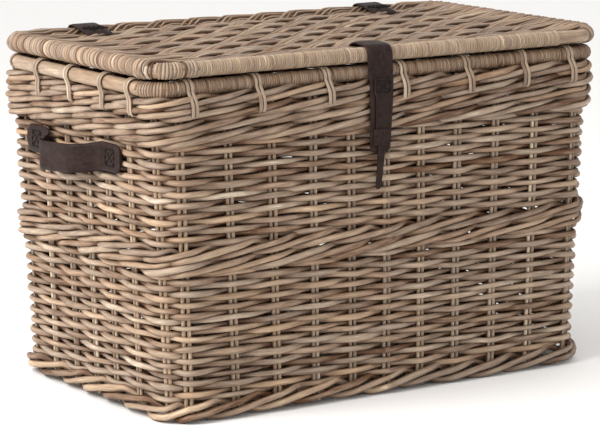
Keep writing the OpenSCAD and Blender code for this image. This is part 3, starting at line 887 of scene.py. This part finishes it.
def make_lid_weave():
    """Bundles of rods that climb over the lid's sticks and turn round its end poles."""
    _, half_v, corner, pole_z, pole_r = lid_ring
    roll_low, roll_high = corners("lid_right_roll")
    roll_r = (roll_high[2] - roll_low[2]) / 2
    roll_x, roll_z = roll_high[0] - roll_r, (roll_low[2] + roll_high[2]) / 2
    sticks, _, mid_z, _ = stick_places("lid_sticks")
    front_y, back_y = -(half_v - pole_r - LID_CLEAR), half_v + LID_OVER
    pitch = (back_y - front_y) / LID_ROWS
    over_r = pole_r + BINDING_T / 2 + LID_ROD / 2
    half_bundle = (LID_BUNDLE - 1) / 2 * LID_ROD
    last = len(sticks) - 1
    q = np.linspace(0, last, last * LID_RINGS + 1)
    x = np.interp(q, np.arange(last + 1), sticks)
    weave = Rods()
    for row in range(LID_ROWS):
        level = front_y + (row + 0.5) * pitch
        sway = drift(q, 0.0014, 2)
        for strand in range(LID_STRANDS):
            climb, height, tuck = over_two(q - strand)
            middle = np.clip(level + sway + pitch * climb, front_y + half_bundle - 0.002,
                             back_y - half_bundle)
            spread = 0.97 + 0.07 * height + drift(q, 0.05, 1)
            # Each rod is two canes, joined at a stick
            tone_a, warm_a = cane_tones(LID_BUNDLE, LID_LIGHT, 0.09)
            tone_b, warm_b = cane_tones(LID_BUNDLE, LID_LIGHT, 0.09)
            split = rng.integers(2, last - 1)
            for rod in range(LID_BUNDLE):
                aside = (rod - (LID_BUNDLE - 1) / 2) / (LID_BUNDLE - 1) * 2     # -1 to 1
                y = middle + aside * half_bundle * spread + drift(q, 0.0004)
                z = mid_z + lid_dome(x, y) + LID_SWING * height + LID_TUCK * tuck
                z = z + drift(q, 0.0004)
                on_pole = pole_z + np.sqrt(np.clip(over_r ** 2 - (y - half_v) ** 2, 0, None))
                rides = y > half_v - over_r
                z = np.where(rides, np.maximum(z, on_pole + 0.0010 * height), z)
                path = np.column_stack([x, y, z])
                ends = []
                for side, at in ((-1, 0), (1, -1)):
                    final_y = level + pitch * (climb[at] * 4 / 3 + aside * 0.15)
                    final_y = np.clip(final_y, LID_TURN_CLEAR - half_v, half_v - LID_TURN_CLEAR)
                    pull = corner - bend_depth(abs(final_y), half_v, corner)
                    radius = roll_r - LID_ROD / 2 - 0.0010 * aside ** 2 - 0.0012 * (rod % 2)
                    ends.append(end_turn(side, path[at], final_y, roll_x - pull, roll_z, radius))
                full = np.concatenate([ends[0][::-1], path, ends[1]])
                # Painted shade darkens the rods where they dip under a stick.
                shade = LID_UNDER_SHADE * (1 - height) / 2
                light = np.where(q < split, tone_a[rod], tone_b[rod]) - shade
                warm = np.where(q < split, warm_a[rod], warm_b[rod])
                n0, n1 = len(ends[0]), len(ends[1])
                light = np.pad(light, (n0, n1), constant_values=(tone_a[rod] + 0.02,
                                                                 tone_b[rod] + 0.02))
                warm = np.pad(warm, (n0, n1), "edge")
                width = np.pad(LID_ROD * (1 + drift(q, 0.06, 0.5)), (n0, n1), "edge")
                out = np.cross(headings(full), BACK)
                weave.add(full, out, width, width * FLAT, light=light, warm=warm)
    weave.piece("woven_lid", weave_look, "cane_dark", "lid", "lid_panel", "lid_left_roll",
                "lid_right_roll")


FLOOR_ROD = 0.0062


def make_floor_weave():
    """Rows of paired weavers over the floor's sticks."""
    low, high = corners("floor_panel")
    sticks, _, mid_z, stick_r = stick_places("floor_sticks")
    half_u, half_v, corner = high[0], high[1], low_corner - WALL_T
    rows = int(2 * half_v / (2 * FLOOR_ROD))
    pitch = 2 * half_v / rows
    gap = sticks[1] - sticks[0]
    rods = Rods()
    for row in range(rows):
        level = -half_v + (row + 0.5) * pitch
        reach = half_u - corner + bend_depth(abs(level) + pitch / 2, half_v, corner) - FLOOR_ROD
        x = np.linspace(-reach, reach, 80)
        q = (x - sticks[0]) / gap
        for strand in range(2):
            phase = math.pi * (q + strand)
            tone, warm = cane_tones(1, 0.5)
            y = level + pitch / 4 * np.sin(phase)
            z = mid_z + (stick_r + FLOOR_ROD / 2 - 0.0005) * np.cos(phase)
            z = np.maximum(z, low[2] - 0.004)
            rods.add(np.column_stack([x, y, z]), UP, FLOOR_ROD, light=tone[0], warm=warm[0])
    rods.piece("woven_floor", weave_look, "cane", "trunk_body", "floor_panel")


BARE_POLE = 0.035       # bare pole at the right end of the lid's front
BINDING_GAP = 0.004
WRAP_D = 0.0064
WRAP_PITCH = 0.0066


def make_lid_bindings():
    """Fine cane round the lid's long poles and coarser wraps near and round its corners."""
    half_u, _, r = lid_ring[:3]
    straight, bend = half_u - r, math.pi * r / 2
    start = -straight               # where the front left bend begins
    half_way = ring_length(lid_ring) / 2
    front, back, wraps = Rods(), Rods(), Rods()
    for a, b, width, thick, light, warm in (
            (start + 0.031, straight - BARE_POLE, BINDING_W, BINDING_T, 0.6, 0.55),
            (start + 0.015, start + 0.0305, 0.005, 0.0022, 0.6, 0.35),
            (start - 0.024, start + 0.0075, 0.0039, 0.0018, 0.58, 0.4)):
        wind(front, lid_ring, a, b, width, thick, light, warm, 0.05)
    for at in (start - 0.0285, start + 0.0112):     # a thin, almost black ring on each side of the bend's winding: painted shade standing for the gaps there
        add_wrap(front, lid_ring, at, 0.0030, 0.02, 0.6)
    front.piece("wound_lid_front_binding", peel_look, "cane_light", "lid", "lid_front_binding")
    wind(back, lid_ring, half_way - straight + BINDING_GAP, half_way + straight - BINDING_GAP,
         BINDING_W, BINDING_T, 0.55, 0.5, 0.05)
    back.piece("wound_lid_back_binding", peel_look, "cane_light", "lid", "lid_back_binding")
    # Which part of each corner's bend is wrapped, from 0 at the long side's end to 1
    for side, middle, begin in ((-1, 0, 0.74), (1, 0, 0.42), (-1, half_way, 0.1), (1, half_way, 0.1)):
        a, b = straight + bend * begin, straight + bend
        count = max(int(round((b - a) / WRAP_PITCH)), 1)
        for k in range(count):
            at = middle + side * (a + (b - a) * (k + 0.5) / count)
            add_wrap(wraps, lid_ring, at, WRAP_D, rng.normal(0.42, 0.08), 0.15)
    add_wrap(wraps, lid_ring, start - 0.0335, 0.0046, 0.85, 0.2)
    wraps.piece("corner_wraps", peel_look, "cane", "lid", "lid_corner_wraps")


# ---- Leather ----

STRAP_SECTION = flat_section(11, 0.45)
THREAD_D = 0.0019
THREAD_LIFT = 0.0004    # how far a stitch's middle stands above the leather
STITCH = 0.0042
STITCH_GAP = 0.0018
HINGE_T = 0.0025        # thicknesses of the leather
CLOSING_T = 0.003
TONGUE_T = 0.0025
KEEPER_T = 0.0018
HANDLE_T = 0.0035
HANG = 0.045            # sideways lean of the closing strap for its length
FOOT_SHARE = 32 / 40    # the closing strap's width at its foot, for that at its fold


def add_strap(rods, x, line, width, thick, wear=0.25):
    """A strap that faces across X; its centre line is a chain of (y, z) points, at x or at xs."""
    path = np.column_stack([np.broadcast_to(x, len(line)), line])
    rods.add(path, np.cross(headings(path), RIGHT), width, thick, light=wear, section=STRAP_SECTION)


def stitch(rods, start, end, out):
    """One thread from start to end that dips into the leather at both."""
    t = np.linspace(0, 1, 7)[:, None]
    path = np.asarray(start) * (1 - t) + np.asarray(end) * t
    path = path + np.asarray(out) * (THREAD_LIFT - 0.0012 * (2 * t - 1) ** 6)
    rods.add(path, np.asarray(out, float), THREAD_D, light=0.5, section=round_section(6))


def stitch_row(rods, start, end, out):
    """A row of stitches on a straight line."""
    start, end = np.asarray(start, float), np.asarray(end, float)
    span = np.linalg.norm(end - start)
    count = max(int((span + STITCH_GAP) / (STITCH + STITCH_GAP)), 1)
    way = (end - start) / span
    pitch = (span + STITCH_GAP) / count
    for k in range(count):
        a = start + way * (k * pitch)
        stitch(rods, a, a + way * (pitch - STITCH_GAP), out)


def sewn_box(rods, centre, u, v, out, half_u, half_v):
    """Stitches round a rectangle and along both its diagonals."""
    centre, u, v = (np.asarray(a, float) for a in (centre, u, v))
    c = [centre + u * su * half_u + v * sv * half_v
         for su, sv in ((-1, -1), (1, -1), (1, 1), (-1, 1))]
    for a, b in ((0, 1), (1, 2), (2, 3), (3, 0), (0, 2), (1, 3)):
        stitch_row(rods, c[a], c[b], out)


def over_pole(pole_y, pole_z, r):
    """Points of a quarter turn round a pole, from above it to behind it."""
    return [(pole_y + r * math.sin(math.radians(a)), pole_z + r * math.cos(math.radians(a)))
            for a in range(0, 91, 10)]


def make_hinges():
    """Two straps from the lid's top over its back pole and down the back of the trunk."""
    on_body, on_lid = Rods(), Rods()
    _, half_v, _, pole_z, pole_r = lid_ring
    for side_name in ("left", "right"):
        lid_node, body_node = side_name + "_hinge_lid_leather", side_name + "_hinge_body_leather"
        lid_low, lid_high = corners(lid_node)
        low, high = corners(body_node)
        x, width = (low[0] + high[0]) / 2, high[0] - low[0]
        axis_z = (lid_low[2] + high[2]) / 2
        skin_y = lid_high[1] - HINGE_T / 2
        outer_y = high[1] - HINGE_T / 2 - 0.0002
        r = skin_y - half_v
        # The strap lies on the rods that the lid's weave carries over the pole
        rise = pole_r + BINDING_T + LID_ROD + 0.0008 + HINGE_T / 2 - r
        top = pole_z + r + rise - 0.003
        near = lid_low[1] + 0.015
        line = ([(near, top - 0.0095), (near + 0.005, top - 0.0055),
                 (near + 0.012, top - 0.0045), (half_v - 0.022, top)]
                + [(y, z + rise * (z - pole_z) / r) for y, z in over_pole(half_v, pole_z, r)]
                + [(skin_y, axis_z), (skin_y, axis_z - 0.012), (outer_y - 0.0004, axis_z - 0.026),
                   (outer_y, low[2] + 0.006), (outer_y - 0.0006, low[2])])
        line = resample(soften(line), 0.0022)
        last = len(line) - 1
        taper = np.interp(np.arange(len(line)), [0, 2, last - 4, last], [0.9, 1, 1, 0.86])
        rods = Rods()
        add_strap(rods, x, line, width * taper, HINGE_T)
        rods.bending_piece(side_name + "_hinge_strap", strap_look, "leather", ("trunk_body", "lid"),
                           (x, skin_y, axis_z - 0.006), (x, skin_y, axis_z + 0.006),
                           lid_node, body_node)
        half_box = width / 2 - 0.006
        sewn_box(on_lid, (x, lid_low[1] + 0.034, top + HINGE_T / 2), RIGHT, BACK, UP, half_box, 0.010)
        sewn_box(on_body, (x, outer_y + HINGE_T / 2, low[2] + 0.016), RIGHT, UP, BACK, half_box, 0.010)
    return on_body, on_lid


def hanging(x, z):
    """Where the closing strap's middle is at a height: it hangs a little aslant from its fold."""
    fold = corners("closing_strap")[1][2] - 0.02
    return x - HANG * np.clip(fold - z, 0, None)


def make_closing_strap(stitches):
    """The strap from the lid over its front pole, with the tongue and keeper sewn to it."""
    tab_low, tab_high = corners("closing_strap_tab")
    low, high = corners("closing_strap")
    _, half_v, _, pole_z, _ = lid_ring
    x, width = (low[0] + high[0]) / 2, high[0] - low[0]
    top = tab_high[2] - CLOSING_T / 2
    skin_y = tab_low[1] + CLOSING_T / 2
    out_y = low[1] + CLOSING_T / 2
    line = ([(tab_high[1] + 0.004, top - 0.011), (tab_high[1] - 0.004, top - 0.003),
             (tab_high[1] - 0.012, top), (-half_v + 0.012, top - 0.001)]
            + [(-half_v - (y - half_v), z) for y, z in over_pole(half_v, pole_z, -half_v - skin_y)]
            + [(skin_y, high[2] - 0.010), (skin_y - 0.0012, high[2] - 0.022),
               (out_y + 0.0022, high[2] - 0.043), (out_y + 0.0008, low[2] + 0.05), (out_y, low[2])])
    line = resample(soften(line), 0.0025)
    z = line[:, 1]
    rounded_foot = np.interp(z, [low[2], low[2] + 0.003, low[2] + 0.007, high[2] - 0.014, 1],
                             [0.75, 0.93, 1, 1, 1])
    narrow = np.interp(z, [low[2], high[2] - 0.014], [FOOT_SHARE, 1])
    back_edge = np.interp(np.arange(len(line)), [0, 3, 6], [0.86, 0.97, 1])
    rods = Rods()
    add_strap(rods, hanging(x, z), line, width * rounded_foot * narrow * back_edge, CLOSING_T, 0.35)
    rods.bending_piece("closing_strap_leather", strap_look, "leather", ("lid", "closing_strap"),
                       (x, skin_y, high[2] + 0.004), (x, skin_y, high[2] - 0.008),
                       "closing_strap_tab", "closing_strap")
    make_tongue(x, stitches)


def make_tongue(x, stitches):
    """The narrower strip that hangs from the closing strap, and the keeper loop round it."""
    low, high = corners("closing_tongue")
    keeper_low, keeper_high = corners("tongue_keeper")
    strap_low = corners("closing_strap")[0]
    face = low[1] + TONGUE_T / 2
    box_h = 0.021                               # height of the sewn part
    step = keeper_high[2] - 0.001
    line = [(face + 0.0026, high[2]), (face + 0.0024, high[2] - box_h), (face + 0.0008, step + 0.02),
            (face + 0.0004, step), (face + 0.0005, strap_low[2]), (face + 0.002, low[2] + 0.02),
            (face + 0.0042, low[2])]
    line = resample(soften(line), 0.0015)
    z = line[:, 1]
    half = np.interp(z, [low[2], low[2] + 0.002, low[2] + 0.006, step - 0.013, step - 0.001,
                         high[2] - box_h - 0.003, high[2] - box_h, high[2]],
                     [0.0018, 0.0034, 0.0045, 0.0064, 0.0100, 0.0110, 0.0140, 0.0140])
    rods = Rods()
    add_strap(rods, hanging(x, z), line, 2 * half, TONGUE_T, 0.3)
    rods.piece("tongue_leather", strap_look, "leather", "closing_strap", "closing_tongue")
    centre = (hanging(x, high[2] - box_h / 2), low[1] + 0.0027, high[2] - box_h / 2)
    sewn_box(stitches, centre, RIGHT, UP, (0, -1, 0), 0.0112, 0.0078)
    y0, y1 = keeper_high[1], keeper_low[1]
    half_k = (keeper_high[0] - keeper_low[0]) / 2
    left = [(-half_k + 0.0008, y0), (-half_k + 0.0008, y1 + 0.003), (-half_k + 0.003, y1 + 0.001)]
    loop = soften(left + [(-u, y) for u, y in reversed(left)], 3)
    middle = (keeper_low[2] + keeper_high[2]) / 2
    path = np.column_stack([hanging(x, middle) + loop[:, 0], loop[:, 1], np.full(len(loop), middle)])
    band = Rods()
    band.add(path, np.cross(UP, headings(path)) * -1, keeper_high[2] - keeper_low[2], KEEPER_T,
             light=0.4, section=STRAP_SECTION)
    band.piece("keeper_leather", strap_look, "leather", "closing_strap", "tongue_keeper")


HANDLE_PATCH = 0.050    # length of a handle's sewn ends
HANDLE_NOSE = 0.013     # how far a handle's ends are rounded
HANDLE_SEAM = 0.047     # where a handle's two halves meet, at the far bend of its grip
HANDLE_AT = [-0.078, -0.056, 0.0, 0.052, 0.066, 0.078]
HANDLE_SAG = [0.0, 0.005, 0.009, 0.012, 0.008, 0.0]


def handle_line(grip_node, ends_node):
    """Centre line of a handle from its front end to its back end, on the CAD's own curve."""
    low, high = corners(ends_node)
    points = np.concatenate([vertices(grip_node), vertices(ends_node)])
    rows = np.round(points[:, 1] * 2000)
    line = []
    for row in np.unique(rows):
        if low[1] + HANDLE_PATCH - 0.004 < row / 2000 < high[1] - HANDLE_PATCH + 0.004:
            x = points[rows == row, 0]
            line.append(((x.min() + x.max()) / 2, row / 2000))
    return np.array([(line[0][0], low[1])] + line + [(line[-1][0], high[1])])


def make_handle(side_name, side, stitches):
    """A handle in two halves that meet at a bend of its grip."""
    grip_node, ends_node = side_name + "_handle_grip", side_name + "_handle_ends"
    low, high = corners(grip_node)
    width, z, middle_y = high[2] - low[2], (low[2] + high[2]) / 2, (low[1] + high[1]) / 2
    line = resample(soften(handle_line(grip_node, ends_node), 1), 0.0025)
    x = line[len(line) // 2, 0]
    seam_y = middle_y + HANDLE_SEAM
    front, back = line[line[:, 1] <= seam_y + 0.001], line[line[:, 1] >= seam_y - 0.001][::-1]
    for end_name, end, part, grip_at, nodes in (("front", -1, front, -0.035, (grip_node, ends_node)),
                                                ("back", 1, back, HANDLE_SEAM, ())):
        reach = np.abs(part[:, 1] - part[0, 1])
        nose = np.clip((HANDLE_NOSE - reach) / HANDLE_NOSE, 0, 0.999)
        half = 1 - (1 - np.sqrt(1 - nose ** 2)) * 2 * HANDLE_NOSE / width
        sag = np.interp(part[:, 1] - middle_y, HANDLE_AT, HANDLE_SAG)
        path = np.column_stack([part[:, 0], part[:, 1], z - sag])
        out = np.cross(headings(path), UP)
        out = out * np.sign((out[:, 0] * side).mean())
        rods = Rods()
        rods.add(path, out, width * half, HANDLE_T, light=0.3, section=STRAP_SECTION)
        rods.bending_piece("_".join([side_name, "handle", end_name, "half"]), strap_look, "leather",
                           ("trunk_body", side_name + "_handle"), (x, middle_y + end * 0.080, z),
                           (x, middle_y + grip_at, z), *nodes)
        centre = (part[0, 0] + side * HANDLE_T / 2, part[0, 1] - end * 0.026, z)
        sewn_box(stitches, centre, BACK, UP, (side, 0, 0), 0.011, 0.011)


def make_leather():
    """All straps, and the stitches on each body in a piece of their own."""
    on_body, on_lid = make_hinges()
    make_handle("left", -1, on_body)
    make_handle("right", 1, on_body)
    on_body.piece("body_thread", thread_look, "thread", "trunk_body", "body_stitches")
    on_lid.piece("lid_thread", thread_look, "thread", "lid", "lid_stitches")
    on_strap = Rods()
    make_closing_strap(on_strap)
    on_strap.piece("strap_thread", thread_look, "thread", "closing_strap", "closing_stitches")


def make_floor():
    mesh = bpy.data.meshes.new("floor")
    mesh.from_pydata([(x * FLOOR_HALF, y * FLOOR_HALF, 0)
                      for x, y in ((-1, -1), (1, -1), (1, 1), (-1, 1))], [], [(0, 1, 2, 3)])
    mesh.materials.append(floor_material())
    obj = bpy.data.objects.new("floor", mesh)
    bpy.context.scene.collection.objects.link(obj)


# ---- Everything in its place ----

make_camera()
make_light()
make_floor()

make_siding("lower_siding", 23)
make_siding("upper_siding", 18)
make_waling("middle_waling", 2, WALE_D, 0.0092, 0.43)
make_waling("top_waling", 4, WALE_D, 0.0094, 0.40)
make_waling("foot_border", 1, FOOT_D, 0.0100, 0.38)
for stake_node in STAKE_AXIS:
    make_stakes(stake_node)

make_pole("bent_rim_pole", "rim_pole", rim_ring, "trunk_body",
          [(0.5, 0.4), (0.56, 0.5), (0.52, 0.3), (0.55, 0.4), (0.5, 0.4), (0.6, 0.3), (0.5, 0.6),
           (0.58, 0.4)])
make_rim_binding("rim_front_binding", 0)
make_rim_binding("rim_back_binding", ring_length(rim_ring) / 2)
make_lashings()
make_pole("bent_lid_pole", "lid_frame_pole", lid_ring, "lid", [(0.52, 0.5), (0.54, 0.45)])
make_lid_bindings()
make_sticks("lid_stick_rods", "lid_sticks", "lid", lid_dome)
make_lid_weave()
make_sticks("floor_stick_rods", "floor_sticks", "trunk_body", lambda x, y: 0 * y)
make_floor_weave()
make_leather()
